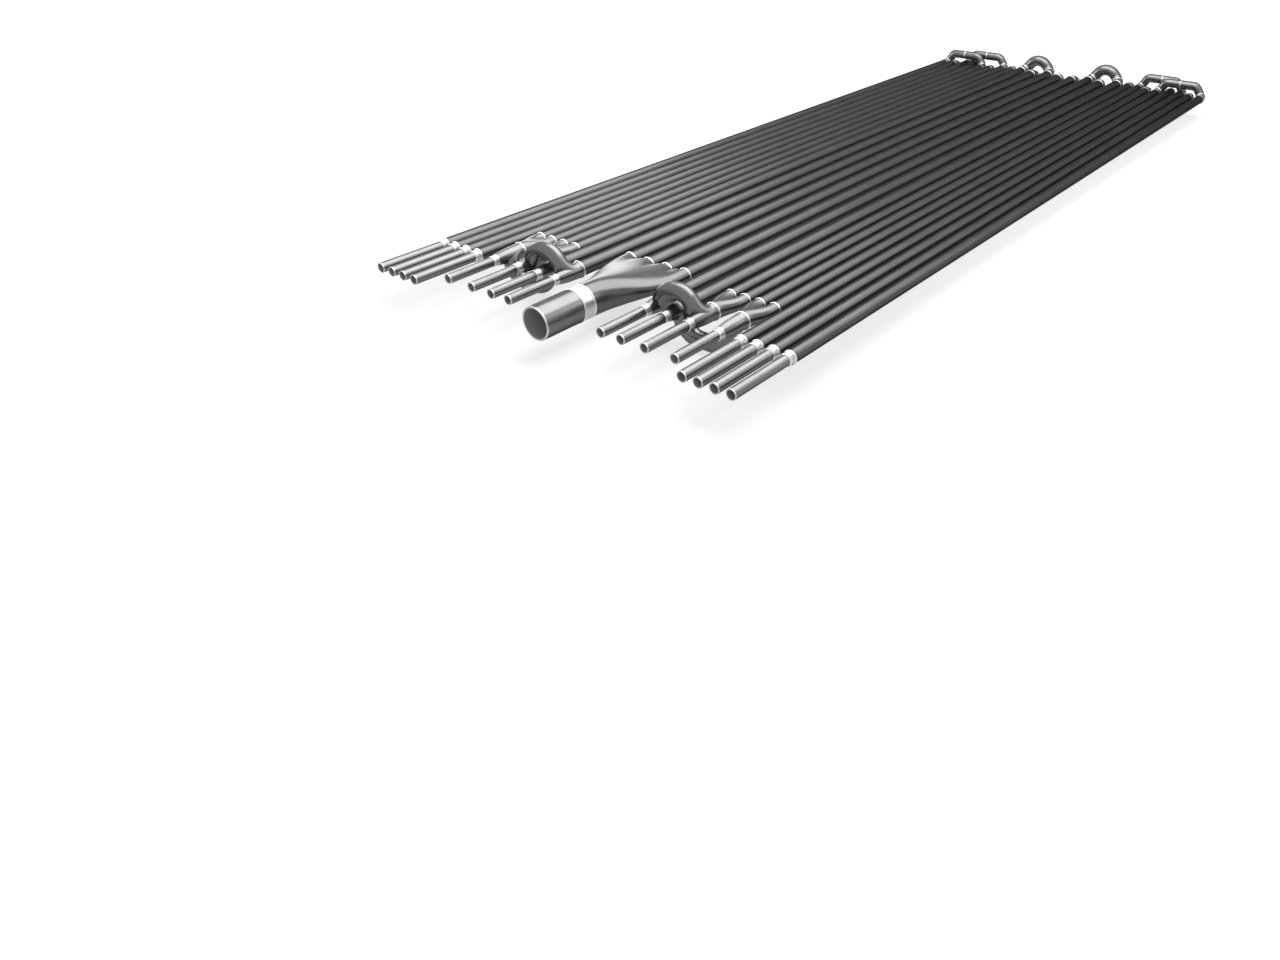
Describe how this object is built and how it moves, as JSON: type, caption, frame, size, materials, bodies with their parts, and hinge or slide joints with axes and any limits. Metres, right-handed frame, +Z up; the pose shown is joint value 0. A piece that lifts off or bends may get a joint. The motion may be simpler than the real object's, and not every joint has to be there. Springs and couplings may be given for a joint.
{
  "type": "radiant coil",
  "caption": "Flat tubular furnace coil: long parallel tubes joined by cast return bends, crossovers and Y-pieces, gathered by a fan-shaped manifold into a large outlet tube.",
  "frame": {"origin": "centre of the bounding box's base, on the floor that the coil lies on", "axes": "+Y along the tubes, from the open inlet and outlet ends to the far return bends; +X across the tubes, to the side named right; +Z up, square to the plane of the tubes"},
  "size_m": [3.761, 9.334, 0.489],
  "materials": {
    "weld": "brushed bright weld metal",
    "tube": "satin, as drawn and ground alloy tube",
    "casting": "smooth satin casting",
    "outlet": "satin, as drawn and ground alloy tube",
    "ring": "bright machined band"
  },
  "bodies": {
    "root": {"inlet_tube_left_1": "tube", "first_pass_tube_left_1": "tube", "second_pass_tube_left_1": "tube", "return_bend_left_1": "casting", "inlet_tube_left_2": "tube", "first_pass_tube_left_2": "tube", "second_pass_tube_left_2": "tube", "return_bend_left_2": "casting", "inlet_tube_left_3": "tube", "first_pass_tube_left_3": "tube", "second_pass_tube_left_3": "tube", "return_bend_left_3": "casting", "inlet_tube_left_4": "tube", "first_pass_tube_left_4": "tube", "second_pass_tube_left_4": "tube", "return_bend_left_4": "casting", "wye_left_inner": "casting", "fourth_pass_tube_left_inner": "tube", "third_pass_tube_left_inner": "tube", "u_bend_left_inner": "casting", "wye_left_outer": "casting", "fourth_pass_tube_left_outer": "tube", "third_pass_tube_left_outer": "tube", "u_bend_left_outer": "casting", "over_crossover_left_wye_elbow": "casting", "over_crossover_left_tube_elbow": "casting", "under_crossover_left_wye_elbow": "casting", "under_crossover_left_tube_elbow": "casting", "inlet_tube_right_1": "tube", "first_pass_tube_right_1": "tube", "second_pass_tube_right_1": "tube", "return_bend_right_1": "casting", "inlet_tube_right_2": "tube", "first_pass_tube_right_2": "tube", "second_pass_tube_right_2": "tube", "return_bend_right_2": "casting", "inlet_tube_right_3": "tube", "first_pass_tube_right_3": "tube", "second_pass_tube_right_3": "tube", "return_bend_right_3": "casting", "inlet_tube_right_4": "tube", "first_pass_tube_right_4": "tube", "second_pass_tube_right_4": "tube", "return_bend_right_4": "casting", "wye_right_inner": "casting", "fourth_pass_tube_right_inner": "tube", "third_pass_tube_right_inner": "tube", "u_bend_right_inner": "casting", "wye_right_outer": "casting", "fourth_pass_tube_right_outer": "tube", "third_pass_tube_right_outer": "tube", "u_bend_right_outer": "casting", "over_crossover_right_wye_elbow": "casting", "over_crossover_right_tube_elbow": "casting", "under_crossover_right_wye_elbow": "casting", "under_crossover_right_tube_elbow": "casting", "outlet_manifold": "casting", "outlet_transition_ring": "ring", "outlet_tube": "outlet"}
  },
  "joints": []
}
